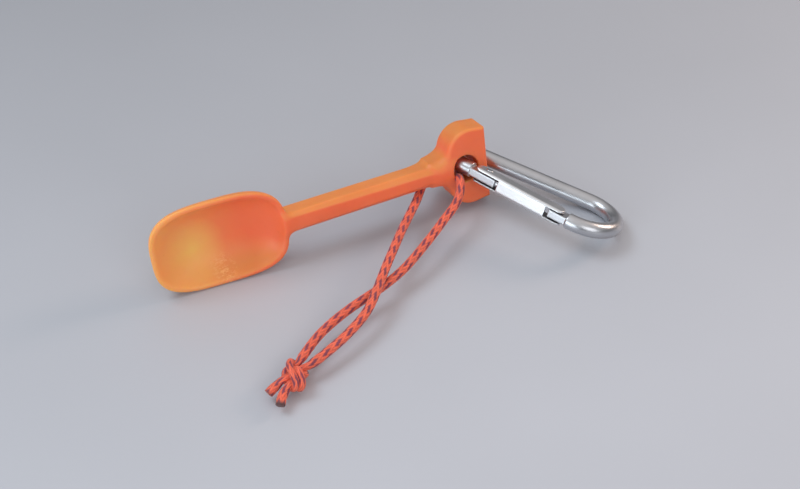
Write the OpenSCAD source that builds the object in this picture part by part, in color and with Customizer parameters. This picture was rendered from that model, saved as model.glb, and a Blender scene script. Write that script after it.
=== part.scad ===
/* [Spoon] */
// Half width of the head at its flat end
head_end_half = 13.2; // [11:0.1:15]
// Radius of the two rounded lobes of the head
lobe_r = 8.4; // [6:0.1:9]
// Distance of the lobe centres from the flat end
lobe_back = 6.3; // [5:0.1:9]
// Distance of the lobe centres from the middle line
lobe_side = 5.6; // [4:0.1:9]
// Thickness of the head plate
head_t = 9.8; // [8:0.1:12]
// Width of the handle bar
handle_w = 7.2; // [5:0.1:9]
// Depth of the handle bar, front to back
handle_t = 7.6; // [6:0.1:9]
// Radius of the concave fillets between head and handle
neck_r = 6; // [4:0.5:8]
// Radius of the hole through the head
hole_r = 4.9; // [4.5:0.1:6]
// Distance of the hole's axis from the flat end
hole_back = 8.5; // [8:0.1:10]
// Half length of the bowl
bowl_a = 22.8; // [18:0.2:28]
// Half width of the bowl
bowl_b = 15.4; // [12:0.2:20]
// Distance of the bowl's centre from the flat end
bowl_back = 96.9; // [80:0.5:110]
// Wall thickness of the bowl
bowl_wall = 1.9; // [1.2:0.1:3]
// Depth of the bowl's back behind the handle's front face
bowl_depth = 11; // [8:0.5:14]

/* [Carabiner] */
// Diameter of the bent rod
rod_d = 5.5; // [4:0.1:6]
// Bend radius of the rod's centre line at the hinge end
hinge_bend_r = 7.4; // [6:0.1:9]
// Bend radius of the rod's centre line at the nose end
nose_bend_r = 12; // [8:0.1:13]
// Distance between the centres of the two bends
bend_gap = 42; // [35:0.1:55]
// Thickness of one cheek of the gate channel
cheek_t = 0.85; // [0.6:0.05:1.2]
// Radius of the gate's rivet
rivet_r = 0.9; // [0.6:0.05:1.2]
// Diameter of the gate spring's wire
spring_wire_d = 0.4; // [0.3:0.05:0.6]
// Turns of the gate spring
spring_turns = 11; // [6:1:16]

/* [Cord] */
// Diameter of the cord
cord_d = 3; // [2:0.1:4]
// Radius from the knot's axis to the centre of its wraps
knot_wrap_r = 3.4; // [2.5:0.1:5]
// Number of wraps in the knot
knot_wraps = 3; // [2:1:4]

/* [Pose] */
// Backward lean of the spoon on its edge, in degrees
spoon_lean = 15; // [0:0.5:25]
// Rise of the handle towards the head, in degrees
spoon_rise = 0.23; // [-3:0.01:3]
// Height of the spoon's front middle line above the ground
spoon_height = 16.28; // [10:0.01:20]

/* [Hidden] */
$fn = 64;
eps = 0.05;
orange = [0.96, 0.45, 0.11];
silver = [0.76, 0.78, 0.80];
steel = [0.62, 0.64, 0.66];
coral = [0.98, 0.35, 0.22];
// the frame's origin is under the middle of the rigid parts
frame_shift = [42.2, 13.63, 0];

// spoon
hole_rim_r = 0.4;
end_chamfer = 0.7;
handle_edge = 0.9;
neck_side = handle_w / 2 + neck_r;
// the neck's fillets bite this far into the lobes and the handle
neck_bite = 0.02;
neck_back = lobe_back + sqrt(pow(lobe_r + neck_r, 2) - pow(neck_side - lobe_side, 2));
// where the line from the flat end's corner touches the lobe
end_line_l = norm([lobe_back, head_end_half - lobe_side]);
end_touch = atan2(head_end_half - lobe_side, lobe_back) + acos(lobe_r / end_line_l);
// the handle runs this far into the bowl's wall
handle_bite = 0.7;
handle_end = bowl_back - bowl_a + handle_bite;
handle_end_slant = 26.5;
taper_l = 8;
taper_end = neck_back + taper_l;
bowl_power = 3.2;
bowl_steps = 64;
bowl_rings = 10;
rim_at_handle = 0.2;
rim_at_tip = 3.4;
// powers that shape the bowl's profile: how its rings spread out and how they sink
outer_spread = 0.6;
outer_sink = 0.95;
inner_spread = 0.8;
inner_sink = 1.6;
last_ring_angle = 86;

// carabiner, in its own plane with the hinge bend's centre at the origin
rod_r = rod_d / 2;
// the straight stretches end a little way inside the bends
straight_r = rod_r - 0.01;
joint_overlap = 0.3;
carabiner_turn = [-21.1, 10.3, -48.9];
carabiner_at = [-2.68, 5.75, 13.38];
nose_drop = nose_bend_r - hinge_bend_r;
gate_slope = 2 * atan2(nose_drop, bend_gap);
gate_start = [-hinge_bend_r * sin(gate_slope), -hinge_bend_r * cos(gate_slope), 0];
// the gate's own line starts where the hinge bend ends
gate_line_l = bend_gap;
tongue_start = 3.9;
tongue_end = 13.8;
tongue_half = 1.35;
// the tongues' outer side is flat, this far from the rod's axis
tongue_flat = 2.35;
nose_start = 35;
nose_end = 41.8;
pivot_s = 9.8;
pivot_v = 0.5;
running_gap = 0.05;
ear_start = 5.5;
ear_end = 39.9;
web_start = 14.7;
web_end = 34.1;
web_t = 0.9;
gate_inner_v = 2.1;
channel_edge_r = 1.3;
cheek_out = rod_r;
rivet_head_r = 1.35;
rivet_head_h = 0.35;
follower_v = -0.3;
follower_r = 1.4;
follower_start = tongue_end + 0.05;
follower_l = 1.9;
stem_r = 0.65;
stem_l = 4;
spring_end = 29;
spring_r = 1.1;
stop_l = 1;
coil_gap = 0.02;
points_per_turn = 7;

// cord routes from the middle of the hole, x and y from the flat end's centre, z from the ground
front_route = [
    [-9.2, 3.4, 11.4], [-10.2, 1.7, 11.9], [-11.2, 0.4, 12.9], [-11.8, -0.9, 14],
    [-12.1, -2.4, 14.6], [-12.6, -4.1, 14.3], [-13.7, -6, 13.3], [-15.8, -8.6, 12.1], [-19, -11, 11.1],
    [-23.8, -13.9, 10.2], [-28.6, -17.1, 9.5], [-34.5, -20.8, 8.8], [-39.7, -23.9, 8.1],
    [-44.8, -26.6, 7.4], [-50.2, -28.8, 6.8], [-55.6, -30.6, 6.4], [-61.2, -32.2, 6.2],
    [-66.9, -33.9, 6], [-74.2, -36.7, 5.8], [-81.4, -40.4, 5.6], [-88, -44.6, 5.2]
];
back_route = [
    [-9.2, 3.4, 11.4], [-8.4, 5.1, 10.9], [-7.7, 6.9, 10.5], [-7.2, 8.9, 10], [-7.5, 10.9, 9.6],
    [-8.7, 12.6, 9.3], [-10.9, 13.6, 9.1], [-13.5, 13.5, 9], [-16.3, 12, 8.9], [-19.2, 9.3, 8.9],
    [-22, 6.2, 8.9], [-24.7, 3, 9], [-27.6, -0.5, 9.2], [-33.3, -6.5, 9.6], [-39.4, -12.8, 9.8],
    [-44.8, -18.8, 9.9], [-49.5, -24, 9.9], [-53.6, -28.6, 9.7], [-57.9, -33.4, 9.1],
    [-64, -39.2, 7.9], [-72, -43.9, 6.8], [-80, -47.3, 6], [-88, -49.8, 5.3]
];
tail_front_route = [[-97.6, -51, 4.8], [-99.6, -51.1, 4.5], [-101.8, -51.3, 4], [-103.8, -51.6, 3.4]];
tail_back_route = [[-97, -53.6, 4.6], [-98.6, -55, 4.3], [-100.2, -56.8, 3.8], [-101.6, -58.8, 3.2]];
knot_at = [-93.4, -49.9, 4.95];
knot_turn = [0, 90, 30];
knot_tilt = 14;
knot_pitch = 2.75;
knot_core_gap = 0.4;

// ---------- spoon ----------

// places a shape from the spoon's own axes: x along the shaft, y across, z towards the open face
module in_spoon() {
    translate(frame_shift + [0, 0, spoon_height]) rotate([90 - spoon_lean, -spoon_rise, 0]) children();
}

module head_side_profile() {
    translate([-lobe_back, lobe_side]) circle(r = lobe_r);
    touch = [-lobe_back + lobe_r * cos(end_touch), lobe_side + lobe_r * sin(end_touch)];
    polygon([[-lobe_back, 0], [0, 0], [0, head_end_half], touch, [-lobe_back, lobe_side]]);
    difference() {
        polygon([[-neck_back, 0], [-lobe_back, 0], [-lobe_back, lobe_side], [-neck_back, neck_side]]);
        translate([-neck_back, neck_side]) circle(r = neck_r + neck_bite);
    }
}

// both lobes, cut straight at the flat end
module head_profile() {
    difference() {
        union() {
            head_side_profile();
            mirror([0, 1]) head_side_profile();
        }
        translate([0, -2 * head_end_half]) square([2 * lobe_r, 4 * head_end_half]);
    }
}

// the hole with rounded rims on both faces
module hole_cutter() {
    rim_half = hole_r + hole_rim_r;
    translate([-hole_back, 0, 0]) {
        translate([0, 0, -head_t - 1]) cylinder(r = hole_r, h = head_t + 2);
        rotate_extrude() difference() {
            translate([0, -hole_rim_r]) square([rim_half, hole_rim_r + 1]);
            translate([rim_half, -hole_rim_r]) circle(r = hole_rim_r);
        }
        translate([0, 0, -head_t]) rotate_extrude() difference() {
            translate([0, -1]) square([rim_half, hole_rim_r + 1]);
            translate([rim_half, hole_rim_r]) circle(r = hole_rim_r);
        }
    }
}

module end_chamfers() {
    for (z = [0, -head_t])
        translate([0, 0, z]) rotate([0, 45, 0])
            cube([end_chamfer * sqrt(2), 3 * head_end_half, end_chamfer * sqrt(2)], center = true);
}

// the bar, cut at a slant inside the bowl's wall
module handle() {
    half = handle_w / 2;
    difference() {
        translate([-bowl_back, 0, 0]) rotate([90, 0, 90]) linear_extrude(bowl_back - neck_back + 2)
            polygon([[-half, -handle_edge], [-half + handle_edge, 0], [half - handle_edge, 0],
                [half, -handle_edge], [half, handle_edge - handle_t], [half - handle_edge, -handle_t],
                [handle_edge - half, -handle_t], [-half, handle_edge - handle_t]]);
        translate([-handle_end, 0, 0]) rotate([0, handle_end_slant, 0])
            translate([-2 * bowl_a, -handle_w, -2 * bowl_a]) cube([2 * bowl_a, 2 * handle_w, 3 * bowl_a]);
    }
}

// the back of the neck slopes from the head's thickness to the handle's
module neck_back_slope() {
    half = handle_w / 2;
    translate([0, half, 0]) rotate([90, 0, 0]) linear_extrude(handle_w)
        polygon([[-neck_back + 1, -head_t], [-neck_back + 1, -1], [-taper_end, -1], [-taper_end, -handle_t]]);
}

function signed_power(v, p) = sign(v) * pow(abs(v), p);
function bowl_outline(angle, a, b) = [
    -bowl_back + a * signed_power(cos(angle), 2 / bowl_power),
    b * signed_power(sin(angle), 2 / bowl_power)
];
// the rim dips back from the handle towards the tip
function tip_share(x) = min(1, max(0, (-x - bowl_back + bowl_a) / (2 * bowl_a)));
function rim_z(x) = -rim_at_handle - (rim_at_tip - rim_at_handle) * (1 - pow(1 - tip_share(x), 2));
function bowl_ring(a, b, floor_z, depth_angle, spread_power, sink_power) = [
    for (i = [0:bowl_steps - 1])
        let (angle = 360 * i / bowl_steps,
            outer = bowl_outline(angle, a, b),
            spread = pow(cos(depth_angle), spread_power),
            rim = rim_z(outer[0]),
            depth = pow(sin(depth_angle), sink_power))
        [-bowl_back + (outer[0] + bowl_back) * spread, outer[1] * spread, rim + (floor_z - rim) * depth]
];

module bowl_shell() {
    inner_a = bowl_a - bowl_wall;
    inner_b = bowl_b - bowl_wall;
    step = last_ring_angle / (bowl_rings - 1);
    outside = [for (k = [0:bowl_rings - 1])
        each bowl_ring(bowl_a, bowl_b, -bowl_depth, step * k, outer_spread, outer_sink)];
    inside = [for (k = [0:bowl_rings - 1])
        each bowl_ring(inner_a, inner_b, bowl_wall - bowl_depth, step * k, inner_spread, inner_sink)];
    count = bowl_steps * bowl_rings;
    points = concat(outside, inside, [[-bowl_back, 0, -bowl_depth], [-bowl_back, 0, bowl_wall - bowl_depth]]);
    function next(i) = (i + 1) % bowl_steps;
    outer_faces = [for (k = [0:bowl_rings - 2], i = [0:bowl_steps - 1])
        [k * bowl_steps + next(i), (k + 1) * bowl_steps + next(i),
            (k + 1) * bowl_steps + i, k * bowl_steps + i]];
    inner_faces = [for (k = [0:bowl_rings - 2], i = [0:bowl_steps - 1])
        [count + k * bowl_steps + i, count + (k + 1) * bowl_steps + i,
            count + (k + 1) * bowl_steps + next(i), count + k * bowl_steps + next(i)]];
    rim_faces = [for (i = [0:bowl_steps - 1]) [count + i, count + next(i), next(i), i]];
    outer_floor = [for (i = [0:bowl_steps - 1])
        [count - bowl_steps + next(i), 2 * count, count - bowl_steps + i]];
    inner_floor = [for (i = [0:bowl_steps - 1])
        [2 * count - bowl_steps + i, 2 * count + 1, 2 * count - bowl_steps + next(i)]];
    polyhedron(points, concat(outer_faces, inner_faces, rim_faces, outer_floor, inner_floor), convexity = 6);
}

module spoon() {
    color(orange) in_spoon() {
        difference() {
            union() {
                translate([0, 0, -head_t]) linear_extrude(head_t) head_profile();
                handle();
                neck_back_slope();
            }
            hole_cutter();
            end_chamfers();
        }
        bowl_shell();
    }
}

// ---------- carabiner ----------

module in_carabiner() {
    translate(frame_shift + carabiner_at) rotate(carabiner_turn) children();
}

// the gate's own axes: x along the gate from the hinge bend, y inwards, z across
module in_gate() {
    in_carabiner() translate(gate_start) rotate([0, 0, -gate_slope]) children();
}

// a stretch of straight rod along the gate's line
module rod(from_s, to_s) {
    translate([from_s, 0, 0]) rotate([0, 90, 0]) cylinder(r = straight_r, h = to_s - from_s);
}

// takes both sides and the outer crown off the rod and leaves a flat tongue
module tongue_cuts(from_s, to_s) {
    translate([from_s, -2 * rod_d - tongue_flat, -rod_d]) cube([to_s - from_s, 2 * rod_d, 2 * rod_d]);
    for (side = [0, 1]) mirror([0, 0, side])
        translate([from_s, -rod_d, tongue_half]) cube([to_s - from_s, 2 * rod_d, rod_d]);
}

module carabiner_frame() {
    color(silver) {
        in_carabiner() {
            translate([-joint_overlap, hinge_bend_r, 0]) rotate([0, 90, 0])
                cylinder(r = straight_r, h = bend_gap + 2 * joint_overlap);
            rotate([0, 0, 90]) rotate_extrude(angle = 180 - gate_slope)
                translate([hinge_bend_r, 0]) circle(r = rod_r);
            translate([bend_gap, -nose_drop, 0]) rotate([0, 0, -90 - gate_slope])
                rotate_extrude(angle = 180 + gate_slope) translate([nose_bend_r, 0]) circle(r = rod_r);
        }
        in_gate() {
            difference() {
                rod(-joint_overlap, tongue_end);
                tongue_cuts(tongue_start, tongue_end + 1);
                translate([pivot_s, pivot_v, -rod_d]) cylinder(r = rivet_r + running_gap, h = 2 * rod_d);
            }
            difference() {
                rod(nose_start, gate_line_l + joint_overlap);
                tongue_cuts(nose_start - 1, nose_end);
            }
        }
    }
}

// section of the gate's U channel, its web on the outer side
module channel_section(open_web) {
    edge = channel_edge_r;
    difference() {
        union() {
            translate([-rod_r + edge, -cheek_out]) square([gate_inner_v + rod_r - edge, 2 * cheek_out]);
            translate([-rod_r, -cheek_out + edge]) square([edge + eps, 2 * (cheek_out - edge)]);
            for (side = [-1, 1]) translate([-rod_r + edge, side * (cheek_out - edge)]) circle(r = edge);
        }
        translate([-rod_r + (open_web ? -1 : web_t), cheek_t - cheek_out])
            square([2 * rod_d, 2 * (cheek_out - cheek_t)]);
    }
}

module channel_run(from_s, to_s, open_web) {
    translate([from_s, 0, 0]) rotate([90, 0, 90]) linear_extrude(to_s - from_s) channel_section(open_web);
}

// outline that rounds the cheeks' two ends
module cheek_outline() {
    mid_v = (gate_inner_v - rod_r) / 2;
    end_r = (gate_inner_v + rod_r) / 2;
    translate([ear_start + end_r, mid_v]) circle(r = end_r);
    translate([ear_end - end_r, mid_v]) circle(r = end_r);
    translate([ear_start + end_r, mid_v - end_r]) square([ear_end - ear_start - 2 * end_r, 2 * end_r]);
}

module gate() {
    color(silver) in_gate() {
        difference() {
            intersection() {
                union() {
                    channel_run(ear_start - 1, web_start, true);
                    channel_run(web_start, web_end, false);
                    channel_run(web_end, ear_end + 1, true);
                }
                translate([0, 0, -rod_d]) linear_extrude(2 * rod_d) cheek_outline();
            }
            translate([pivot_s, pivot_v, -rod_d]) cylinder(r = rivet_r, h = 2 * rod_d);
        }
        // a stop across the channel takes the far end of the spring
        translate([spring_end, web_t - rod_r - eps, cheek_t - cheek_out - eps])
            cube([stop_l, follower_v + follower_r + rod_r - web_t, 2 * (cheek_out - cheek_t + eps)]);
    }
}

module gate_rivet() {
    color(steel) in_gate() translate([pivot_s, pivot_v, 0]) {
        translate([0, 0, -cheek_out]) cylinder(r = rivet_r, h = 2 * cheek_out);
        for (side = [0, 1]) mirror([0, 0, side]) translate([0, 0, cheek_out])
            cylinder(r = rivet_head_r, h = rivet_head_h);
    }
}

module spring_follower() {
    color(steel) in_gate() translate([follower_start, follower_v, 0]) rotate([0, 90, 0]) {
        cylinder(r = follower_r, h = follower_l);
        translate([0, 0, follower_l - eps]) cylinder(r = stem_r, h = stem_l);
    }
}

// ---------- swept tubes ----------

function unit(v) = v / norm(v);
function tangent(route, i) = unit(route[min(i + 1, len(route) - 1)] - route[max(i - 1, 0)]);
// a direction across the route, turned as little as possible from the one before
function across(direction, before) = unit(before - (before * direction) * direction);
function all_across(route, i = 0, before = [0, 0, 1]) = i >= len(route) ? [] :
    let (now = across(tangent(route, i), before)) concat([now], all_across(route, i + 1, now));

module tube(route, d, sides = 8) {
    sideways = all_across(route);
    points = [for (i = [0:len(route) - 1], k = [0:sides - 1])
        let (u = sideways[i], v = cross(tangent(route, i), u))
        route[i] + d / 2 * (cos(360 * k / sides) * u + sin(360 * k / sides) * v)];
    last = len(route) - 1;
    walls = [for (i = [0:last - 1], k = [0:sides - 1])
        [i * sides + k, (i + 1) * sides + k, (i + 1) * sides + (k + 1) % sides, i * sides + (k + 1) % sides]];
    near_cap = [[for (k = [0:sides - 1]) k]];
    far_cap = [[for (k = [sides - 1:-1:0]) last * sides + k]];
    polyhedron(points, concat(walls, near_cap, far_cap), convexity = 8);
}

module gate_spring() {
    start = follower_start + follower_l + spring_wire_d / 2 + coil_gap;
    length = spring_end - start - spring_wire_d / 2 - coil_gap;
    per_turn = points_per_turn;
    count = spring_turns * per_turn;
    coil = [for (i = [0:count]) [start + length * i / count, follower_v + spring_r * cos(360 * i / per_turn),
        spring_r * sin(360 * i / per_turn)]];
    color(steel) in_gate() tube(coil, spring_wire_d, 5);
}

// ---------- cord ----------

module placed_cord(route) {
    color(coral) translate(frame_shift) tube(route, cord_d);
}

module cord_front() {
    placed_cord(front_route);
}

module cord_back() {
    placed_cord(back_route);
}

module cord_knot() {
    span = knot_pitch * (knot_wraps - 1);
    color(coral) translate(frame_shift + knot_at) rotate([0, 0, knot_turn[2]]) rotate([0, knot_turn[1], 0]) {
        for (k = [0:knot_wraps - 1]) translate([0, 0, k * knot_pitch - span / 2]) rotate([knot_tilt, 0, 0])
            rotate_extrude() translate([knot_wrap_r, 0]) circle(d = cord_d, $fn = 24);
        cylinder(r = knot_wrap_r - knot_core_gap, h = span + cord_d, center = true);
    }
}

module cord_tail_front() {
    placed_cord(tail_front_route);
}

module cord_tail_back() {
    placed_cord(tail_back_route);
}

spoon();
carabiner_frame();
gate();
gate_rivet();
spring_follower();
gate_spring();
cord_front();
cord_back();
cord_knot();
cord_tail_front();
cord_tail_back();
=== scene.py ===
"""Camp spoon with carabiner and cord loop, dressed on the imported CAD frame."""
import math

import bpy
import numpy as np
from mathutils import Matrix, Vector


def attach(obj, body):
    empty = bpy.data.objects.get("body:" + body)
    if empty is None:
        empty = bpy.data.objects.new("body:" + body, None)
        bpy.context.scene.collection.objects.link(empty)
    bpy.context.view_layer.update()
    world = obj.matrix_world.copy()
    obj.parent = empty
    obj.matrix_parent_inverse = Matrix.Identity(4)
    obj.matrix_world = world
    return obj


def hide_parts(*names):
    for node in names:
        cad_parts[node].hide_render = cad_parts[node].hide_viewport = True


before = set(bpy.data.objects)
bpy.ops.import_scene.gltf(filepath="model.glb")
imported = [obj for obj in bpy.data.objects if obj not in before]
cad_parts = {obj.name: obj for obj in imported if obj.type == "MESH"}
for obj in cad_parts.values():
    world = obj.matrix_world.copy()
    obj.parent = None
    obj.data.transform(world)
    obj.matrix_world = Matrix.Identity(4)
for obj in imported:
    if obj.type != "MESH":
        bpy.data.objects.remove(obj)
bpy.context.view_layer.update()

MM = 0.001
SHIFT = np.array([42.2, 13.63, 0.0])      # the row frame's origin, as in part.scad, in mm


# ---------------------------------------------------------------- placing
def rot_x(deg):
    a = math.radians(deg)
    return np.array([[1, 0, 0], [0, math.cos(a), -math.sin(a)], [0, math.sin(a), math.cos(a)]])


def rot_y(deg):
    a = math.radians(deg)
    return np.array([[math.cos(a), 0, math.sin(a)], [0, 1, 0], [-math.sin(a), 0, math.cos(a)]])


def rot_z(deg):
    a = math.radians(deg)
    return np.array([[math.cos(a), -math.sin(a), 0], [math.sin(a), math.cos(a), 0], [0, 0, 1]])


SPOON_TURN = rot_y(-0.23) @ rot_x(75)
SPOON_AT = SHIFT + np.array([0, 0, 16.28])
CARABINER_TURN = rot_z(-48.9) @ rot_y(10.3) @ rot_x(-21.1)
CARABINER_AT = SHIFT + np.array([-2.68, 5.75, 13.38])
HINGE_BEND_R = 7.4
NOSE_BEND_R = 12.0
BEND_GAP = 42.0
ROD_R = 2.75
GATE_SLOPE = 2 * math.atan2(NOSE_BEND_R - HINGE_BEND_R, BEND_GAP)
GATE_START = np.array([-HINGE_BEND_R * math.sin(GATE_SLOPE), -HINGE_BEND_R * math.cos(GATE_SLOPE), 0])
GATE_TURN = rot_z(-math.degrees(GATE_SLOPE))


def from_spoon(p):
    return (np.asarray(p) @ SPOON_TURN.T + SPOON_AT) * MM


def from_carabiner(p):
    return (np.asarray(p) @ CARABINER_TURN.T + CARABINER_AT) * MM


def from_gate(p):
    return from_carabiner(np.asarray(p) @ GATE_TURN.T + GATE_START)


# ---------------------------------------------------------------- camera
def make_camera():
    data = bpy.data.cameras.new("camera")
    cam = bpy.data.objects.new("camera", data)
    bpy.context.scene.collection.objects.link(cam)
    elevation, azimuth = math.radians(43.58), math.radians(-25.71)
    back = Vector((math.sin(azimuth) * math.cos(elevation), -math.cos(azimuth) * math.cos(elevation),
                   math.sin(elevation)))
    cam.location = Vector((SHIFT + np.array([-176.7, -297.2, 304.6])) * MM)
    cam.rotation_mode = "QUATERNION"
    cam.rotation_quaternion = (-back).to_track_quat("-Z", "Y")
    data.sensor_width = 36
    data.lens = 58.5
    data.clip_start = 0.01
    data.clip_end = 10
    bpy.context.scene.camera = cam


make_camera()


# ---------------------------------------------------------------- meshes
def new_mesh(name, points, faces, smooth=True):
    mesh = bpy.data.meshes.new(name)
    mesh.from_pydata([tuple(p) for p in points], [], [tuple(int(i) for i in f) for f in faces])
    mesh.update()
    if smooth:
        mesh.polygons.foreach_set("use_smooth", np.ones(len(mesh.polygons), bool))
    obj = bpy.data.objects.new(name, mesh)
    bpy.context.scene.collection.objects.link(obj)
    return obj


def soft_max(a, b, r):
    """The larger of two distances, with the edge between them rounded to radius r."""
    inside = np.minimum(np.maximum(a, b), -r)
    return inside + np.hypot(np.maximum(a + r, 0), np.maximum(b + r, 0))


def soft_min(a, b, k):
    """The smaller of two distances, with the corner between them filled over a width k."""
    h = np.maximum(k - np.abs(a - b), 0) / k
    return np.minimum(a, b) - h * h * k / 4


def surface(field, low, high, step):
    """Quads on the zero surface of a distance field, one vertex in each grid cell that it crosses."""
    axes = [np.arange(a, b + step, step) for a, b in zip(low, high)]
    grid = np.stack(np.meshgrid(*axes, indexing="ij"), -1)
    f = field(grid.reshape(-1, 3)).reshape(grid.shape[:3])
    inside = f < 0
    corners = [(i, j, k) for i in (0, 1) for j in (0, 1) for k in (0, 1)]
    n = np.array(f.shape) - 1

    def corner(a, c):
        return a[c[0]:c[0] + n[0], c[1]:c[1] + n[1], c[2]:c[2] + n[2]]

    count = sum(corner(inside, c).astype(int) for c in corners)
    mixed = (count > 0) & (count < 8)
    index = np.full(mixed.shape, -1)
    index[mixed] = np.arange(mixed.sum())
    total = np.zeros((mixed.sum(), 3))
    hits = np.zeros(mixed.sum())
    for a in corners:
        for axis in range(3):
            if a[axis]:
                continue
            b = tuple(1 if m == axis else a[m] for m in range(3))
            fa, fb = corner(f, a)[mixed], corner(f, b)[mixed]
            crossed = (fa < 0) != (fb < 0)
            t = np.where(crossed, fa / np.where(crossed, fa - fb, 1), 0)
            offset = np.tile(np.array(a, float), (len(t), 1))
            offset[:, axis] += t
            total += offset * crossed[:, None]
            hits += crossed
    cells = np.argwhere(mixed)
    points = np.array(low) + (cells + total / hits[:, None]) * step
    faces = []
    for axis in range(3):
        u, v = (axis + 1) % 3, (axis + 2) % 3
        here = [slice(1, -1)] * 3
        here[axis] = slice(0, -1)
        there = [slice(1, -1)] * 3
        there[axis] = slice(1, None)
        a, b = inside[tuple(here)], inside[tuple(there)]
        for flip, chosen in ((False, a & ~b), (True, ~a & b)):
            at = np.argwhere(chosen)
            for m in range(3):
                if m != axis:
                    at[:, m] += 1
            ring = []
            for du, dv in ((-1, -1), (0, -1), (0, 0), (-1, 0)):
                cell = at.copy()
                cell[:, u] += du
                cell[:, v] += dv
                ring.append(index[cell[:, 0], cell[:, 1], cell[:, 2]])
            quad = np.stack(ring, 1)
            faces.append(quad[:, ::-1] if flip else quad)
    faces = np.concatenate(faces)
    faces = faces[(faces >= 0).all(1)]
    small = step * 0.2
    for _ in range(3):
        value = field(points)
        slope = np.stack([(field(points + small * e) - field(points - small * e)) / (2 * small)
                          for e in np.eye(3)], 1)
        size = (slope ** 2).sum(1)
        move = -(value / np.maximum(size, 0.3))[:, None] * slope
        points = points + np.clip(move, -0.5 * step, 0.5 * step)
    return points, faces


# ---------------------------------------------------------------- spoon
# spacing of the grids that the surfaces are taken from, in mm
SPOON_GRID, ROD_GRID, GATE_GRID = 0.42, 0.3, 0.16
HEAD_T = 9.8
HANDLE_T = 7.6
HANDLE_HALF = 3.6
LOBE_R, LOBE_BACK, LOBE_SIDE = 8.4, 6.3, 5.6
HEAD_END_HALF = 13.2
# where the line from the flat end's corner touches the lobe
END_TOUCH = (math.atan2(HEAD_END_HALF - LOBE_SIDE, LOBE_BACK)
             + math.acos(LOBE_R / math.hypot(LOBE_BACK, HEAD_END_HALF - LOBE_SIDE)))
TOUCH = (-LOBE_BACK + LOBE_R * math.cos(END_TOUCH), LOBE_SIDE + LOBE_R * math.sin(END_TOUCH))
NECK_R = 6.0
NECK_SIDE = HANDLE_HALF + NECK_R
NECK_BACK = LOBE_BACK + math.sqrt((LOBE_R + NECK_R) ** 2 - (NECK_SIDE - LOBE_SIDE) ** 2)
HOLE_R, HOLE_BACK = 4.9, 8.5
BOWL_A, BOWL_B, BOWL_BACK = 22.8, 15.4, 96.9
BOWL_WALL, BOWL_DEPTH = 1.9, 11.0
# how the bowl's outside and inside spread out and sink, as in part.scad
OUTER_SPREAD, OUTER_SINK = 0.6, 0.95
INNER_SPREAD, INNER_SINK = 0.8, 1.6
BOWL_POWER = 3.2
HANDLE_END = BOWL_BACK - BOWL_A + 0.7


def line_side(x, y, a, b):
    """Signed distance of points from the line through a and b, positive on its left."""
    d = np.array(b, float) - np.array(a, float)
    d /= np.hypot(*d)
    return (y - a[1]) * d[0] - (x - a[0]) * d[1]


def shank_back(x):
    """Thickness of the shank along its length: the handle's, then the head's, with a soft rise between."""
    rise = np.clip((x + NECK_BACK + 9) / 14, 0, 1)
    return HANDLE_T + (HEAD_T - HANDLE_T) * rise * rise * (3 - 2 * rise)


def head_field(x, y, z):
    side = np.abs(y)
    back = shank_back(x)
    lobe = np.hypot(x + LOBE_BACK, side - LOBE_SIDE) - LOBE_R
    top = line_side(x, side, TOUCH, (0, HEAD_END_HALF))
    block = np.maximum(np.maximum(x, TOUCH[0] - x), top)
    slant = line_side(x, side, (-NECK_BACK, NECK_SIDE), (-LOBE_BACK, LOBE_SIDE))
    neck = np.maximum(np.maximum(-NECK_BACK - x, x + 4), slant)
    neck = np.maximum(neck, NECK_R - np.hypot(x + NECK_BACK, side - NECK_SIDE))
    outline = np.maximum(np.minimum(np.minimum(lobe, block), neck), x)
    plate = soft_max(outline, np.abs(z + back / 2) - back / 2, 0.95)
    chamfer = 0.2 + 1.7 * np.clip((-x - 9) / 12, 0, 1)
    return soft_max(plate, (outline + z + chamfer) / math.sqrt(2), 0.5)


def handle_field(x, y, z):
    back = shank_back(x)
    plates = soft_max(np.abs(y) - HANDLE_HALF, np.abs(z + back / 2) - back / 2, 0.9)
    toward_head = np.clip((x + 72) / 52, 0, 1)
    chamfer = 1.2 + 0.7 * toward_head
    bevel = (np.abs(y) - HANDLE_HALF + z + chamfer) / math.sqrt(2)
    plates = soft_max(plates, bevel, 0.2)
    slant = math.radians(26.5)
    near_bowl = -(math.cos(slant) * (x + HANDLE_END) - math.sin(slant) * z)
    return np.maximum(np.maximum(plates, near_bowl), x + 14)


def rim_height(x):
    share = np.clip((-x - BOWL_BACK + BOWL_A) / (2 * BOWL_A), 0, 1)
    return -0.2 - 3.2 * (1 - (1 - share) ** 2)


def cup_value(x, y, z, a, b, floor, spread, sink):
    s = (np.abs((x + BOWL_BACK) / a) ** BOWL_POWER + np.abs(y / b) ** BOWL_POWER) ** (1 / BOWL_POWER)
    rim = rim_height(x)
    t = np.maximum(rim - z, 0) / (rim - floor)
    return s ** (2 / spread) + t ** (2 / sink) - 1


def cup_field(x, y, z, *shape):
    step = 0.05
    value = cup_value(x, y, z, *shape)
    gx = (cup_value(x + step, y, z, *shape) - cup_value(x - step, y, z, *shape)) / (2 * step)
    gy = (cup_value(x, y + step, z, *shape) - cup_value(x, y - step, z, *shape)) / (2 * step)
    gz = (cup_value(x, y, z + step, *shape) - cup_value(x, y, z - step, *shape)) / (2 * step)
    return value / np.maximum(np.sqrt(gx * gx + gy * gy + gz * gz), 0.02)


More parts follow.
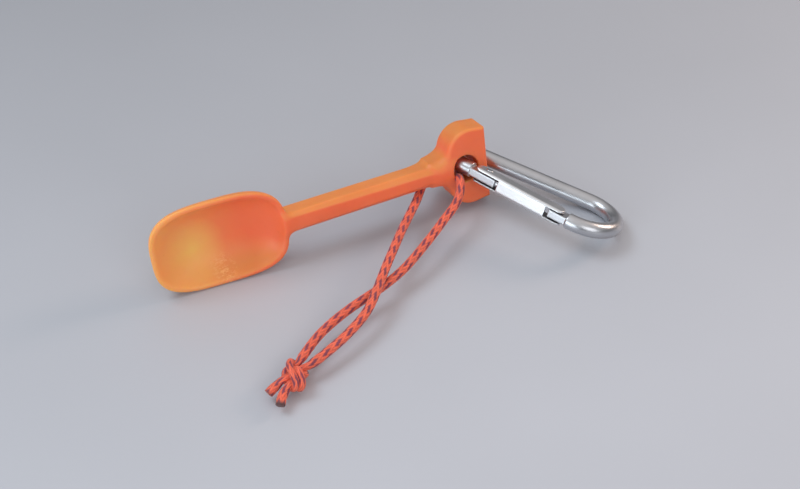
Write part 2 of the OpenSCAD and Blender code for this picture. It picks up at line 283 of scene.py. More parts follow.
def spoon_field(p):
    x, y, z = p[:, 0], p[:, 1], p[:, 2]
    shank = soft_min(head_field(x, y, z), handle_field(x, y, z), 4.0)
    hole = HOLE_R - np.hypot(x + HOLE_BACK, y)
    out = soft_max(shank, hole, 0.4)
    near = x < -BOWL_BACK + BOWL_A + 8
    if near.any():
        q = [c[near] for c in (x, y, z)]
        outer = cup_field(*q, BOWL_A, BOWL_B, -BOWL_DEPTH, OUTER_SPREAD, OUTER_SINK)
        inner = cup_field(*q, BOWL_A - BOWL_WALL, BOWL_B - BOWL_WALL, BOWL_WALL - BOWL_DEPTH,
                          INNER_SPREAD, INNER_SINK)
        lip = q[2] - rim_height(q[0])
        shell = soft_max(soft_max(outer, -inner, 0.05), lip, 0.85)
        joined = soft_min(out[near], shell, 3.0)
        out[near] = soft_max(joined, -np.maximum(inner, lip - 4), 0.5)
    return out


def make_spoon():
    points, faces = surface(spoon_field, (-121, -16.5, -12), (1.2, 16.5, 1.4), SPOON_GRID)
    obj = new_mesh("spoon_moulding", from_spoon(points), faces)
    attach(obj, "spoon_body")
    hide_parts("spoon")
    return obj


# ---------------------------------------------------------------- carabiner
TONGUE_START, TONGUE_END, TONGUE_HALF, TONGUE_FLAT = 3.9, 13.8, 1.35, 2.35
NOSE_START, NOSE_END = 35.0, 41.8
EAR_START, EAR_END = 5.5, 39.9
# the web is 0.3 mm shorter at each end than in part.scad, which widens the dark gaps
WEB_START, WEB_END, WEB_T = 15.0, 33.8, 0.9
CHEEK_T, GATE_INNER_V, CHANNEL_EDGE_R = 0.85, 2.1, 1.3
PIVOT_S, PIVOT_V = 9.8, 0.5


def arc_distance(x, y, centre, radius, start, end):
    """Distance in the plane from an arc that turns left from start to end, in degrees."""
    dx, dy = x - centre[0], y - centre[1]
    angle = (np.degrees(np.arctan2(dy, dx)) - start) % 360
    on_arc = np.abs(np.hypot(dx, dy) - radius)
    tips = []
    for a in (start, end):
        tip = (centre[0] + radius * math.cos(math.radians(a)), centre[1] + radius * math.sin(math.radians(a)))
        tips.append(np.hypot(x - tip[0], y - tip[1]))
    return np.where(angle <= end - start, on_arc, np.minimum(tips[0], tips[1]))


def to_gate(x, y):
    q = np.stack([x, y, 0 * x], 1) - GATE_START
    q = q @ GATE_TURN
    return q[:, 0], q[:, 1]


def stub_field(s, v, w, start, end, cut_from, cut_to):
    rod = soft_max(np.hypot(v, w) - ROD_R, np.maximum(start - s, s - end), 0.2)
    cut = np.maximum(np.maximum(cut_from - s, s - cut_to), TONGUE_HALF - np.abs(w))
    rod = soft_max(rod, -cut, 0.18)
    crown = np.maximum(np.maximum(cut_from - s, s - cut_to), v + TONGUE_FLAT)
    return soft_max(rod, -crown, 0.18)


def frame_field(p):
    x, y, w = p[:, 0], p[:, 1], p[:, 2]
    slope = math.degrees(GATE_SLOPE)
    spine = np.hypot(x - np.clip(x, 0, BEND_GAP), y - HINGE_BEND_R)
    hinge = arc_distance(x, y, (0, 0), HINGE_BEND_R, 90, 270 - slope)
    nose = arc_distance(x, y, (BEND_GAP, HINGE_BEND_R - NOSE_BEND_R), NOSE_BEND_R, -90 - slope, 90)
    s, v = to_gate(x, y)
    bent = np.hypot(np.minimum(spine, hinge), w) - ROD_R
    end = np.hypot(nose, w) - ROD_R
    end = np.where(v < 5, np.maximum(end, NOSE_END - s), end)
    tongue = stub_field(s, v, w, -0.5, TONGUE_END, TONGUE_START, TONGUE_END + 2)
    tip = stub_field(s, v, w, NOSE_START, 42.5, NOSE_START - 2, NOSE_END)
    return np.minimum(np.minimum(bent, end), np.minimum(tongue, tip))


def gate_field(p):
    s, v, w = p[:, 0], p[:, 1], np.abs(p[:, 2])
    section = soft_max(-ROD_R - v, w - ROD_R, CHANNEL_EDGE_R)
    section = soft_max(section, v - GATE_INNER_V, 0.2)
    end_r = (GATE_INNER_V + ROD_R) / 2
    mid_v = (GATE_INNER_V - ROD_R) / 2
    along = s - np.clip(s, EAR_START + end_r, EAR_END - end_r)
    block = soft_max(section, np.hypot(along, v - mid_v) - end_r, 0.2)
    cheeks = soft_max(block, ROD_R - CHEEK_T - w, 0.15)
    web = soft_max(block, v + ROD_R - WEB_T, 0.12)
    web = soft_max(web, np.maximum(WEB_START - s, s - WEB_END), 0.18)
    return np.minimum(cheeks, web)


def lathe(name, profile, steps, place):
    """A turned piece from (radius, height) pairs, about its own z."""
    turns = [2 * math.pi * k / steps for k in range(steps)]
    points = [(r * math.cos(a), r * math.sin(a), h) for r, h in profile for a in turns]
    faces = []
    for i in range(len(profile) - 1):
        for k in range(steps):
            m = (k + 1) % steps
            faces.append((i * steps + k, i * steps + m, (i + 1) * steps + m, (i + 1) * steps + k))
    faces.append(list(range(steps))[::-1])
    faces.append([(len(profile) - 1) * steps + k for k in range(steps)])
    mesh = bpy.data.meshes.new(name)
    mesh.from_pydata([tuple(p) for p in place(np.array(points))], [], faces)
    mesh.polygons.foreach_set("use_smooth", np.ones(len(mesh.polygons), bool))
    obj = bpy.data.objects.new(name, mesh)
    bpy.context.scene.collection.objects.link(obj)
    return obj


def make_rivet():
    rise = [math.radians(a) for a in (0, 25, 50, 75, 88)]
    head = [(1.35 * math.cos(a), ROD_R + 0.02 + 0.33 * math.sin(a)) for a in rise]
    profile = [(r, -h) for r, h in reversed(head)] + [(0.9, -ROD_R - 0.01), (0.9, ROD_R + 0.01)] + head
    return lathe("rivet_turned", profile, 40, lambda p: from_gate(p + [PIVOT_S, PIVOT_V, 0]))


def make_carabiner():
    points, faces = surface(frame_field, (-11, -21, -3.3), (57.5, 11, 3.3), ROD_GRID)
    bow = new_mesh("carabiner_bow", from_carabiner(points), faces)
    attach(bow, "carabiner_body")
    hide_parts("carabiner_frame")
    points, faces = surface(gate_field, (4.8, -3.3, -3.3), (40.6, 2.7, 3.3), GATE_GRID)
    gate = new_mesh("gate_channel", from_gate(points), faces)
    # painted shade: the inside of the gate's channel is marked, and the gate's metal is painted near black
    # there, standing in for the shade in the narrow channel
    inside = (np.abs(points[:, 2]) < ROD_R - CHEEK_T + 0.05) & (points[:, 1] > WEB_T - ROD_R - 0.05)
    shade = gate.data.attributes.new("painted_channel_shade", "FLOAT", "POINT")
    shade.data.foreach_set("value", inside.astype(np.float32))
    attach(gate, "gate_body")
    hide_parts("gate")
    rivet = make_rivet()
    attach(rivet, "gate_body")
    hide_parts("gate_rivet")
    return bow, gate, rivet


# ---------------------------------------------------------------- cord
CORD_D = 3.0
LINE_STEP = 0.24
SMOOTH_ROUNDS = 30
FRONT_ROUTE = [
    (-9.2, 3.4, 11.4), (-10.2, 1.7, 11.9), (-11.2, 0.4, 12.9), (-11.8, -0.9, 14),
    (-12.1, -2.4, 14.6), (-12.6, -4.1, 14.3), (-13.7, -6, 13.3), (-15.8, -8.6, 12.1), (-19, -11, 11.1),
    (-23.8, -13.9, 10.2), (-28.6, -17.1, 9.5), (-34.5, -20.8, 8.8), (-39.7, -23.9, 8.1),
    (-44.8, -26.6, 7.4), (-50.2, -28.8, 6.8), (-55.6, -30.6, 6.4), (-61.2, -32.2, 6.2),
    (-66.9, -33.9, 6), (-74.2, -36.7, 5.8), (-81.4, -40.4, 5.6)]
BACK_ROUTE = [
    (-9.2, 3.4, 11.4), (-8.4, 5.1, 10.9), (-7.7, 6.9, 10.5), (-7.2, 8.9, 10), (-7.5, 10.9, 9.6),
    (-8.7, 12.6, 9.3), (-10.9, 13.6, 9.1), (-13.5, 13.5, 9), (-16.3, 12, 8.9), (-19.2, 9.3, 8.9),
    (-22, 6.2, 8.9), (-24.7, 3, 9), (-27.6, -0.5, 9.2), (-33.3, -6.5, 9.6), (-39.4, -12.8, 9.8),
    (-44.8, -18.8, 9.9), (-49.5, -24, 9.9), (-53.6, -28.6, 9.7), (-57.9, -33.4, 9.1),
    (-64, -39.2, 7.9), (-72, -43.9, 6.8), (-80, -47.3, 6)]
FRONT_TAIL = [(-99.6, -52.2, 4.5), (-101.4, -52.7, 4), (-103.0, -53.3, 3.4)]
BACK_TAIL = [(-98.7, -55.4, 4.2), (-100.2, -57, 3.8), (-101.5, -58.9, 3.2)]
KNOT_AT = np.array([-93.7, -51.1, 4.95])
KNOT_TURN = 30
KNOT_ROLL = 0
KNOT_CORD_D = 2.2
KNOT_HALF = 4.6


def tighten_knot(d, half, n=76, steps=420, final=0.36):
    """Pulls a loose double overhand knot tight: two strands side by side, in the knot's own axes."""
    t = np.linspace(-2.12, 2.12, n)
    k = d / 3
    centre = np.stack([(t ** 5 - 10 * t) * 0.42 * k, (t ** 3 - 3 * t) * 3.6 * k,
                       ((t ** 4 - 4 * t ** 2) * 1.7 + 4) * k], 1)
    along = np.gradient(centre, axis=0)
    along /= np.linalg.norm(along, axis=1)[:, None]
    up = np.array([0.0, 0.2, 1.0])
    off = up - (along @ up)[:, None] * along
    off /= np.linalg.norm(off, axis=1)[:, None]
    pts = np.stack([centre + off * 1.7 * k, centre - off * 1.7 * k])
    rest = np.linalg.norm(np.diff(pts, axis=1), axis=2)
    first = pts[:, [0, -1]].copy()
    last = np.array([[[-half, 1.5, 0.2], [half, 1.7, 0]], [[-half, -1.5, -0.2], [half, -1.7, 0]]])
    apart = np.abs(np.arange(n)[:, None] - np.arange(n)[None])
    for step in range(steps):
        share = min(1.0, step / (steps * 0.75))
        ends = first * (1 - share) + last * share
        length = rest * (1 - share * (1 - final))
        near = apart * length.mean() < 1.6 * d
        skip = np.zeros((2 * n, 2 * n), bool)
        skip[:n, :n] = near
        skip[n:, n:] = near
        for _ in range(6):
            pts[:, 0], pts[:, -1] = ends[:, 0], ends[:, 1]
            for odd in (0, 1):
                a, b = pts[:, odd:-1:2], pts[:, odd + 1::2]
                m = min(a.shape[1], b.shape[1])
                gap = b[:, :m] - a[:, :m]
                size = np.linalg.norm(gap, axis=2, keepdims=True)
                pull = (size - length[:, odd::2][:, :m, None]) * 0.45 * gap / np.maximum(size, 1e-6)
                pts[:, odd:-1:2][:, :m] += pull
                pts[:, odd + 1::2][:, :m] -= pull
            pts[:, 1:-1] += 0.06 * (pts[:, :-2] + pts[:, 2:] - 2 * pts[:, 1:-1])
            flat = pts.reshape(-1, 3)
            gap = flat[:, None] - flat[None]
            size = np.linalg.norm(gap, axis=2)
            size[skip] = 1e9
            push = np.maximum(d * 0.97 - size, 0) * 0.25
            flat = flat + (gap / np.maximum(size, 1e-6)[..., None] * push[..., None]).sum(1)
            pts = flat.reshape(2, n, 3)
            pts[:, 0], pts[:, -1] = ends[:, 0], ends[:, 1]
    return pts


def resample(route, spacing):
    """A smooth line through the points, with points spacing apart."""
    p = np.array(route, float)
    ends = [2 * p[0] - p[1], 2 * p[-1] - p[-2]]
    q = np.vstack([ends[0], p, ends[1]])
    fine = []
    for i in range(1, len(q) - 2):
        knots = [0.0]
        for m in range(3):
            knots.append(knots[-1] + max(np.linalg.norm(q[i + m] - q[i + m - 1]), 1e-4) ** 0.5)
        t0, t1, t2, t3 = knots
        for t in np.linspace(t1, t2, 12, endpoint=False):
            a1 = (t1 - t) / (t1 - t0) * q[i - 1] + (t - t0) / (t1 - t0) * q[i]
            a2 = (t2 - t) / (t2 - t1) * q[i] + (t - t1) / (t2 - t1) * q[i + 1]
            a3 = (t3 - t) / (t3 - t2) * q[i + 1] + (t - t2) / (t3 - t2) * q[i + 2]
            b1 = (t2 - t) / (t2 - t0) * a1 + (t - t0) / (t2 - t0) * a2
            b2 = (t3 - t) / (t3 - t1) * a2 + (t - t1) / (t3 - t1) * a3
            fine.append((t2 - t) / (t2 - t1) * b1 + (t - t1) / (t2 - t1) * b2)
    fine.append(q[-2])
    fine = np.array(fine)
    run = np.concatenate([[0], np.cumsum(np.linalg.norm(np.diff(fine, axis=0), axis=1))])
    count = max(2, int(round(run[-1] / spacing)) + 1)
    at = np.linspace(0, run[-1], count)
    return np.stack([np.interp(at, run, fine[:, m]) for m in range(3)], 1), run[-1]


def smooth_line(p, rounds):
    for _ in range(rounds):
        p = p.copy()
        p[1:-1] += 0.25 * (p[:-2] + p[2:] - 2 * p[1:-1])
    return p


PURPLE = np.array([0.20, 0.018, 0.062])
CORAL = np.array([0.90, 0.13, 0.055])
CARRIERS = 10
TURN_L = 26.0


def braid(around, along, seed):
    """Height of the yarns, from 0 to 1, and the colour of the one on top, for a braid of
    CARRIERS yarns each way, every one of them over two and under two."""
    a = CARRIERS * (around / (2 * math.pi) + along / TURN_L)
    b = CARRIERS * (around / (2 * math.pi) - along / TURN_L)
    i, j = np.floor(a).astype(int), np.floor(b).astype(int)
    top_a = ((i + j) % 4) < 2
    across = np.where(top_a, a - i, b - j) * 2 - 1
    other = np.where(top_a, b, a)
    start = np.where(top_a, (-i) % 2, (-j) % 2)
    crown = np.cos(across * math.pi / 2) ** 0.7
    run = np.abs(((other - start) / 2) % 1 * 2 - 1)
    height = crown * (0.75 + 0.25 * np.sqrt(np.maximum(1 - run ** 2, 0)))
    dark = top_a & (i % 2 == 0)
    rng = np.random.default_rng(seed)
    tone = rng.uniform(0.86, 1.1, 64)
    shade = tone[(np.where(top_a, i, j + 31) + (np.where(top_a, j, i) // 2) * 7) % 64]
    colour = np.where(dark[..., None], PURPLE, CORAL) * shade[..., None]
    # painted shade: each yarn is darkened towards its edges, where it dips between its neighbours
    colour = colour * (0.55 + 0.45 * np.clip(crown, 0, 1))[..., None]
    return height, colour


def cord_mesh(name, line, radius, seed, phase, tip_dark):
    """A braided cord along a line of points in mm, with its own radius at each, closed at both ends."""
    sides = 44
    n = len(line)
    tangent = np.gradient(line, axis=0)
    tangent /= np.linalg.norm(tangent, axis=1)[:, None]
    u = np.zeros_like(line)
    before = np.array([0.0, 0, 1])
    for i in range(n):
        before = before - (before @ tangent[i]) * tangent[i]
        before /= np.linalg.norm(before)
        u[i] = before
    v = np.cross(tangent, u)
    run = np.concatenate([[0], np.cumsum(np.linalg.norm(np.diff(line, axis=0), axis=1))])
    turn = np.arange(sides) * 2 * math.pi / sides
    around = np.tile(turn, (n, 1))
    along = np.tile(run[:, None], (1, sides)) + phase
    height, colour = braid(around, along, seed)
    size = radius[:, None] * (0.93 + 0.09 * height)
    ring = np.cos(around)[..., None] * u[:, None] + np.sin(around)[..., None] * v[:, None]
    points = line[:, None] + ring * size[..., None]
    left = run[-1] - run
    rough = np.random.default_rng(seed + 5)
    domes = []
    for sign, end in ((-1, 0), (1, n - 1)):
        for share, out in ((0.86, 0.16), (0.6, 0.24), (0.28, 0.26)):
            jitter = 1 + 0.06 * rough.standard_normal(sides)[:, None]
            domes.append(line[end] + (points[end] - line[end]) * share * jitter
                         + sign * tangent[end] * out)
    every = np.concatenate([points.reshape(-1, 3), *domes])
    tints = colour.reshape(-1, 3).copy()
    scorch = np.clip(1 - np.repeat(left, sides) / 1.1, 0, 1)[:, None] * tip_dark
    tints = tints * (1 - scorch) + np.array([0.05, 0.02, 0.02]) * scorch
    inner = np.array([0.42, 0.06, 0.05])
    melted = np.array([0.075, 0.022, 0.02])
    dome_tint = np.concatenate([np.tile(inner, (3 * sides, 1)),
                                np.tile(melted * tip_dark + CORAL * 0.6 * (1 - tip_dark), (3 * sides, 1))])
    tints = np.concatenate([tints, dome_tint])
    faces = []
    rows = np.arange(n - 1)[:, None] * sides
    cols = np.arange(sides)[None]
    nxt = (cols + 1) % sides
    quads_round = [rows + cols, rows + nxt, rows + sides + nxt, rows + sides + cols]
    faces.append(np.stack(quads_round, -1).reshape(-1, 4))
    base = n * sides
    for first, flip, offset in ((0, True, base), ((n - 1) * sides, False, base + 3 * sides)):
        rings = [first, offset, offset + sides, offset + 2 * sides]
        for a, b in zip(rings, rings[1:]):
            quad = np.stack([a + cols[0], a + nxt[0], b + nxt[0], b + cols[0]], 1)
            faces.append(quad[:, ::-1] if flip else quad)
    caps = [list(base + 2 * sides + np.arange(sides))[::-1], list(base + 5 * sides + np.arange(sides))]
    mesh = bpy.data.meshes.new(name)
    quads = [tuple(int(i) for i in f) for f in np.concatenate(faces)]
    cap_faces = [tuple(int(i) for i in c) for c in caps]
    mesh.from_pydata([tuple(p) for p in (every + SHIFT) * MM], [], quads + cap_faces)
    mesh.polygons.foreach_set("use_smooth", np.ones(len(mesh.polygons), bool))
    layer = mesh.color_attributes.new("yarn", "FLOAT_COLOR", "POINT")
    rgba = np.concatenate([tints, np.ones((len(tints), 1))], 1).astype(np.float32)
    layer.data.foreach_set("color", rgba.ravel())
    obj = bpy.data.objects.new(name, mesh)
    bpy.context.scene.collection.objects.link(obj)
    return obj


def make_cords():
    knot = tighten_knot(KNOT_CORD_D, KNOT_HALF)
    roll = rot_x(KNOT_ROLL)
    knot = knot @ roll.T @ rot_z(KNOT_TURN).T
    low = knot.reshape(-1, 3)[:, 2].min()
    lift = 1.25 - low - KNOT_AT[2]
    knot = knot + KNOT_AT + np.array([0, 0, max(lift, 0)])
    # each strand takes the side of the knot that its own end lies on
    if knot[0, -1, 1] < knot[1, -1, 1]:
        knot = knot[::-1]
    made = []
    for name, route, tail, strand, seed in (
            ("cord_front_strand", FRONT_ROUTE, FRONT_TAIL, knot[0], 11),
            ("cord_back_strand", BACK_ROUTE, BACK_TAIL, knot[1], 12)):
        inside, _ = resample(strand[::-1], 1.1)
        whole = np.vstack([route, inside, tail])
        line, length = resample(whole, LINE_STEP)
        line = smooth_line(line, SMOOTH_ROUNDS)
        from_hole = np.linalg.norm(np.diff(np.vstack([line[:1], line]), axis=0), axis=1).cumsum()
        knot_near = np.abs((line - KNOT_AT) @ (rot_z(KNOT_TURN) @ np.array([1, 0, 0])))
        squeeze = np.clip((KNOT_HALF + 2.5 - knot_near) / 3, 0, 1)
        squeeze = squeeze * squeeze * (3 - 2 * squeeze)
        nip = np.clip(1 - from_hole / 8, 0, 1)
        radius = CORD_D / 2 - squeeze * (CORD_D - KNOT_CORD_D * 1.04) / 2 - nip * 0.15
        obj = cord_mesh(name, line, radius, seed, phase=seed * 1.7, tip_dark=1.0 if seed == 12 else 0.45)
        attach(obj, "spoon_body")
        path, _ = resample(line[::8], 2.0)
        made.append(obj)
    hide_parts("cord_front", "cord_tail_front", "cord_knot")
    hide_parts("cord_back", "cord_tail_back")
    return made


cords = make_cords()
spoon = make_spoon()
bow, gate, rivet = make_carabiner()


# ---------------------------------------------------------------- materials
class Nodes:
    """Small helper to build a node tree."""

    def __init__(self, name):
        self.mat = bpy.data.materials.new(name)
        self.mat.use_nodes = True
        self.tree = self.mat.node_tree
        self.tree.nodes.clear()
        self.out = self.add("ShaderNodeOutputMaterial")

    def add(self, kind, **values):
        n = self.tree.nodes.new(kind)
        for key, value in values.items():
            if key in n.inputs.keys():
                n.inputs[key].default_value = value
            else:
                setattr(n, key, value)
        return n

    def link(self, a, b):
        self.tree.links.new(a, b)

    def noise(self, coords, scale, detail=4.0, rough=0.55, stretch=None):
        if stretch:
            m = self.add("ShaderNodeMapping")
            m.inputs["Scale"].default_value = stretch
            self.link(coords, m.inputs["Vector"])
            coords = m.outputs["Vector"]
        n = self.add("ShaderNodeTexNoise", Scale=scale, Detail=detail, Roughness=rough)
        self.link(coords, n.inputs["Vector"])
        return n.outputs["Fac"]

    def ramp(self, value, stops):
        r = self.add("ShaderNodeValToRGB")
        e = r.color_ramp.elements
        while len(e) < len(stops):
            e.new(0.5)
        for el, (pos, col) in zip(e, stops):
            el.position = pos
            el.color = (*col, 1) if len(col) == 3 else col
        self.link(value, r.inputs["Fac"])
        return r.outputs["Color"]

    def math(self, op, a, b, clamp=False):
        m = self.add("ShaderNodeMath", operation=op, use_clamp=clamp)
        for k, x in enumerate((a, b)):
            if isinstance(x, (int, float)):
                m.inputs[k].default_value = x
            else:
                self.link(x, m.inputs[k])
        return m.outputs[0]

    def mix(self, fac, a, b, blend="MIX"):
        m = self.add("ShaderNodeMix", data_type="RGBA", blend_type=blend)
        for socket, x in ((m.inputs[0], fac), (m.inputs[6], a), (m.inputs[7], b)):
            if isinstance(x, (int, float)):
                socket.default_value = x
            elif isinstance(x, tuple):
                socket.default_value = (*x, 1) if len(x) == 3 else x
            else:
                self.link(x, socket)
        return m.outputs[2]

    def ball(self, coords, centre, radius):
        """A soft spot: 1 at the centre in x and z, 0 beyond the radius."""
        m = self.add("ShaderNodeMapping")
        m.inputs["Location"].default_value = (-centre[0] / radius, 0, -centre[2] / radius)
        m.inputs["Scale"].default_value = (1 / radius, 0, 1 / radius)
        self.link(coords, m.inputs["Vector"])
        g = self.add("ShaderNodeTexGradient", gradient_type="SPHERICAL")
        self.link(m.outputs["Vector"], g.inputs["Vector"])
        return g.outputs["Fac"]

    def bump(self, height, strength, distance, normal=None):
        b = self.add("ShaderNodeBump", Strength=strength, Distance=distance)
        self.link(height, b.inputs["Height"])
        if normal is not None:
            self.link(normal, b.inputs["Normal"])
        return b.outputs["Normal"]


def orange_plastic():
    n = Nodes("orange_plastic")
    co = n.add("ShaderNodeTexCoord").outputs["Object"]
    p = n.add("ShaderNodeBsdfPrincipled")
    cloud = n.noise(co, 55, 3)
    # painted light: the base colour goes from a redder tint on faces turned sideways to a yellower tint on
    # faces turned upwards, standing in for how the light falls on them
    face = n.ramp(cloud, [(0.3, (0.86, 0.165, 0.062)), (0.7, (0.93, 0.195, 0.075))])
    painted_top_tint = n.ramp(cloud, [(0.3, (0.74, 0.235, 0.060)), (0.7, (0.80, 0.275, 0.075))])
    facing = n.add("ShaderNodeSeparateXYZ")
    n.link(n.add("ShaderNodeNewGeometry").outputs["Normal"], facing.inputs[0])
    base = n.mix(n.ramp(facing.outputs["Z"], [(0.30, (0, 0, 0)), (0.85, (1, 1, 1))]), face, painted_top_tint)
    # painted light: the thin wall far from the handle is painted yellower, standing in for the light that
    # shines through it
    split = n.add("ShaderNodeSeparateXYZ")
    n.link(co, split.inputs[0])
    along = n.math("ADD", split.outputs["X"], n.math("MULTIPLY", cloud, 0.012))
    toward_handle = n.math("ADD", n.math("MULTIPLY", along, 18.0), 1.25)
    thin = n.ramp(toward_handle, [(0.0, (0.9,) * 3), (0.55, (0.0,) * 3)])
    base = n.mix(thin, base, (1.0, 0.42, 0.12))
    # painted light: a soft yellow spot on the floor of the bowl stands in for light shining through the thin
    # wall there
    painted_glow_spot = n.ball(co, (-0.0628, 0.0, 0.0115), 0.0115)
    base = n.mix(n.math("MULTIPLY", painted_glow_spot, 0.75), base, (1.0, 0.62, 0.16))
    # a small patch of scuff marks on the bowl's floor, painted lighter: partly wear, partly a painted
    # highlight
    scuffs_and_highlight = n.ball(co, (-0.0545, 0.0, 0.0032), 0.0052)
    marks = n.ramp(n.noise(co, 1500, 3, 0.7, (0.6, 1.0, 1.4)), [(0.50, (0, 0, 0)), (0.62, (1, 1, 1))])
    base = n.mix(n.math("MULTIPLY", n.math("MULTIPLY", scuffs_and_highlight, marks), 0.8), base, (1.0, 0.55, 0.24))
    fleck = n.noise(co, 900, 2, 0.6)
    speck = n.ramp(fleck, [(0.70, (0, 0, 0)), (0.76, (1, 1, 1))])
    base = n.mix(n.math("MULTIPLY", speck, 0.18), base, (0.62, 0.12, 0.03))
    n.link(base, p.inputs["Base Color"])
    scuff = n.noise(co, 160, 6, 0.7, (1.0, 2.6, 1.6))
    rough = n.ramp(scuff, [(0.35, (0.36, 0.36, 0.36)), (0.68, (0.56, 0.56, 0.56))])
    n.link(rough, p.inputs["Roughness"])
    p.inputs["Subsurface Weight"].default_value = 0.55
    p.inputs["Subsurface Radius"].default_value = (1.0, 0.32, 0.08)
    p.inputs["Subsurface Scale"].default_value = 0.0045
    p.inputs["IOR"].default_value = 1.49
    p.inputs["Specular IOR Level"].default_value = 0.42
    fine = n.noise(co, 2600, 2, 0.6)
    wave = n.noise(co, 70, 2, 0.5)
    normal = n.bump(wave, 0.20, 0.0012)
    normal = n.bump(scuff, 0.16, 0.00022, normal)
    normal = n.bump(fine, 0.16, 0.00005, normal)
    n.link(normal, p.inputs["Normal"])
    n.link(p.outputs[0], n.out.inputs["Surface"])
    return n.mat


def satin_aluminium(name, tint, low, high):
    n = Nodes(name)
    co = n.add("ShaderNodeTexCoord").outputs["Object"]
    p = n.add("ShaderNodeBsdfPrincipled")
    blotch = n.noise(co, 120, 5, 0.6)
    base = n.ramp(blotch, [(0.3, tuple(c * 0.90 for c in tint)), (0.7, tint)])
    worn = n.noise(co, 420, 4, 0.6)
    base = n.mix(n.math("MULTIPLY", worn, 0.25), base, tuple(c * 0.72 for c in tint))
    # painted shade: where the gate's channel is marked, the metal is mixed towards near black, standing in
    # for the shade inside the narrow channel
    painted_channel_shade = n.add("ShaderNodeAttribute", attribute_name="painted_channel_shade")
    base = n.mix(n.math("MULTIPLY", painted_channel_shade.outputs["Fac"], 0.9), base, (0.05, 0.055, 0.06))
    n.link(base, p.inputs["Base Color"])
    p.inputs["Metallic"].default_value = 1.0
    fine = n.noise(co, 1900, 4, 0.65, (1.0, 1.0, 3.0))
    rough = n.ramp(n.math("ADD", n.math("MULTIPLY", blotch, 0.6), n.math("MULTIPLY", fine, 0.4)),
                   [(0.35, (low,) * 3), (0.7, (high,) * 3)])
    n.link(rough, p.inputs["Roughness"])
    normal = n.bump(fine, 0.22, 0.00003)
    normal = n.bump(blotch, 0.10, 0.0002, normal)
    n.link(normal, p.inputs["Normal"])
    n.link(p.outputs[0], n.out.inputs["Surface"])
    return n.mat


def braided_cord():
    n = Nodes("braided_cord")
    co = n.add("ShaderNodeTexCoord").outputs["Object"]
    p = n.add("ShaderNodeBsdfPrincipled")
    yarn = n.add("ShaderNodeAttribute", attribute_name="yarn")
    fuzz = n.noise(co, 5200, 3, 0.7)
    worn = n.noise(co, 260, 4, 0.6)
    tone = n.ramp(fuzz, [(0.25, (0.72, 0.72, 0.72)), (0.75, (1.18, 1.18, 1.18))])
    base = n.mix(1.0, yarn.outputs["Color"], tone, "MULTIPLY")
    base = n.mix(n.math("MULTIPLY", worn, 0.10), base, (0.95, 0.42, 0.40))
    n.link(base, p.inputs["Base Color"])
    p.inputs["Roughness"].default_value = 0.62
    p.inputs["Sheen Weight"].default_value = 0.25
    p.inputs["Sheen Roughness"].default_value = 0.4
    p.inputs["Subsurface Weight"].default_value = 0.12
    p.inputs["Subsurface Radius"].default_value = (1.0, 0.3, 0.2)
    p.inputs["Subsurface Scale"].default_value = 0.0006
    normal = n.bump(fuzz, 0.5, 0.00008)
    n.link(normal, p.inputs["Normal"])
    n.link(p.outputs[0], n.out.inputs["Surface"])
    return n.mat


def floor_material():
    n = Nodes("pale_table")
    co = n.add("ShaderNodeTexCoord").outputs["Object"]
    p = n.add("ShaderNodeBsdfPrincipled")
    cloud = n.noise(co, 3.2, 4)
    base = n.ramp(cloud, [(0.3, (0.465, 0.475, 0.515)), (0.7, (0.505, 0.515, 0.56))])
    # painted shade: the table is darkened towards the back, standing in for the light falling off there
    far = n.add("ShaderNodeSeparateXYZ")
    n.link(co, far.inputs[0])
    painted_far_shade = n.ramp(n.math("ADD", n.math("MULTIPLY", far.outputs["Y"], 3.0), 0.25),
                  [(0.0, (1.0, 1.0, 1.0)), (1.0, (0.66, 0.66, 0.66))])
    base = n.mix(1.0, base, painted_far_shade, "MULTIPLY")
    n.link(base, p.inputs["Base Color"])
    smudge = n.noise(co, 14, 6, 0.6)
    n.link(n.ramp(smudge, [(0.3, (0.42,) * 3), (0.7, (0.56,) * 3)]), p.inputs["Roughness"])
    grain = n.noise(co, 420, 3)
    n.link(n.bump(grain, 0.08, 0.0003), p.inputs["Normal"])
    n.link(p.outputs[0], n.out.inputs["Surface"])
    return n.mat


def paint(obj, mat):
    obj.data.materials.clear()
    obj.data.materials.append(mat)


plastic = orange_plastic()
bow_metal = satin_aluminium("satin_aluminium", (0.58, 0.585, 0.61), 0.27, 0.37)
gate_metal = satin_aluminium("gate_aluminium", (0.82, 0.83, 0.85), 0.27, 0.37)
steel = satin_aluminium("plain_steel", (0.62, 0.63, 0.66), 0.20, 0.32)
cord_cloth = braided_cord()
paint(spoon, plastic)
paint(bow, bow_metal)
paint(gate, gate_metal)
paint(rivet, steel)
for strand in cords:
    paint(strand, cord_cloth)
for node in ("spring_follower", "gate_spring"):
    paint(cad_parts[node], steel)


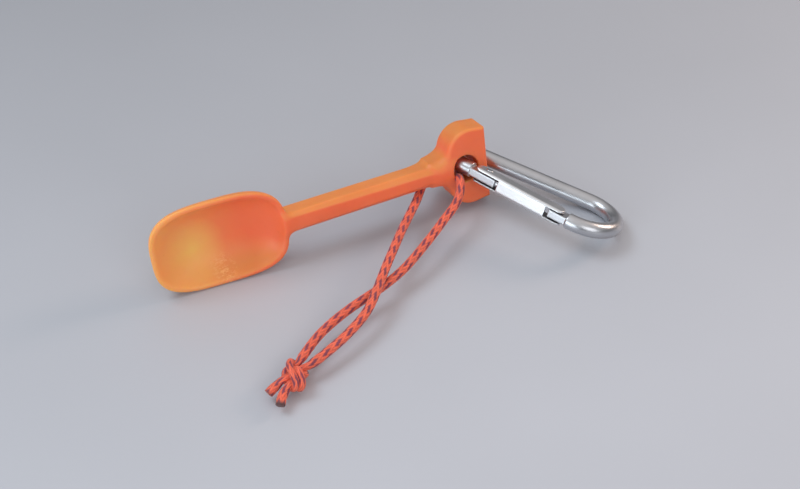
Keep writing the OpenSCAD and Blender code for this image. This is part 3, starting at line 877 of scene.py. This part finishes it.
# ---------------------------------------------------------------- stage and light
def make_floor():
    side = 1.6
    mesh = bpy.data.meshes.new("table_top")
    corners = [(-side, -side, 0), (side, -side, 0), (side, side, 0), (-side, side, 0)]
    mesh.from_pydata(corners, [], [(0, 1, 2, 3)])
    obj = bpy.data.objects.new("table_top", mesh)
    bpy.context.scene.collection.objects.link(obj)
    paint(obj, floor_material())


def area_light(name, at, target, size, power, colour):
    data = bpy.data.lights.new(name, "AREA")
    data.shape = "DISK"
    data.size = size
    data.energy = power
    data.color = colour
    obj = bpy.data.objects.new(name, data)
    bpy.context.scene.collection.objects.link(obj)
    obj.location = at
    obj.rotation_mode = "QUATERNION"
    obj.rotation_quaternion = (Vector(target) - Vector(at)).to_track_quat("-Z", "Y")


def make_light():
    world = bpy.data.worlds.new("room")
    bpy.context.scene.world = world
    world.use_nodes = True
    ground = world.node_tree.nodes["Background"]
    tree = world.node_tree
    direction = tree.nodes.new("ShaderNodeTexCoord")
    split = tree.nodes.new("ShaderNodeSeparateXYZ")
    ramp = tree.nodes.new("ShaderNodeValToRGB")
    stops = ramp.color_ramp.elements
    stops.new(0.5)
    stops.new(0.5)
    # darker near the horizon, brightest overhead, so that metal has something to reflect
    room = ((0.0, (0.30, 0.29, 0.29)), (0.22, (0.22, 0.23, 0.25)),
            (0.55, (0.85, 0.84, 0.84)), (1.0, (1.35, 1.30, 1.28)))
    for stop, (at, colour) in zip(stops, room):
        stop.position = at
        stop.color = (*colour, 1)
    tree.links.new(direction.outputs["Generated"], split.inputs[0])
    tree.links.new(split.outputs["Z"], ramp.inputs["Fac"])
    tree.links.new(ramp.outputs["Color"], ground.inputs["Color"])
    ground.inputs["Strength"].default_value = 0.60
    area_light("window", (-0.42, 0.30, 0.80), (0, 0, 0), 0.46, 3.2, (0.78, 0.90, 1.0))
    area_light("front_window", (-1.15, -0.60, 0.36), (0, 0, 0.01), 0.9, 6.5, (0.84, 0.94, 1.0))
    area_light("front_fill", (0.10, -1.10, 0.55), (0, 0, 0.01), 0.9, 3.4, (0.95, 0.97, 1.0))
    area_light("lamp", (0.72, 0.02, 0.36), (0, 0, 0), 0.24, 1.7, (1.0, 0.76, 0.62))


make_floor()
make_light()
scene = bpy.context.scene
scene.view_settings.view_transform = "Standard"
scene.view_settings.look = "None"
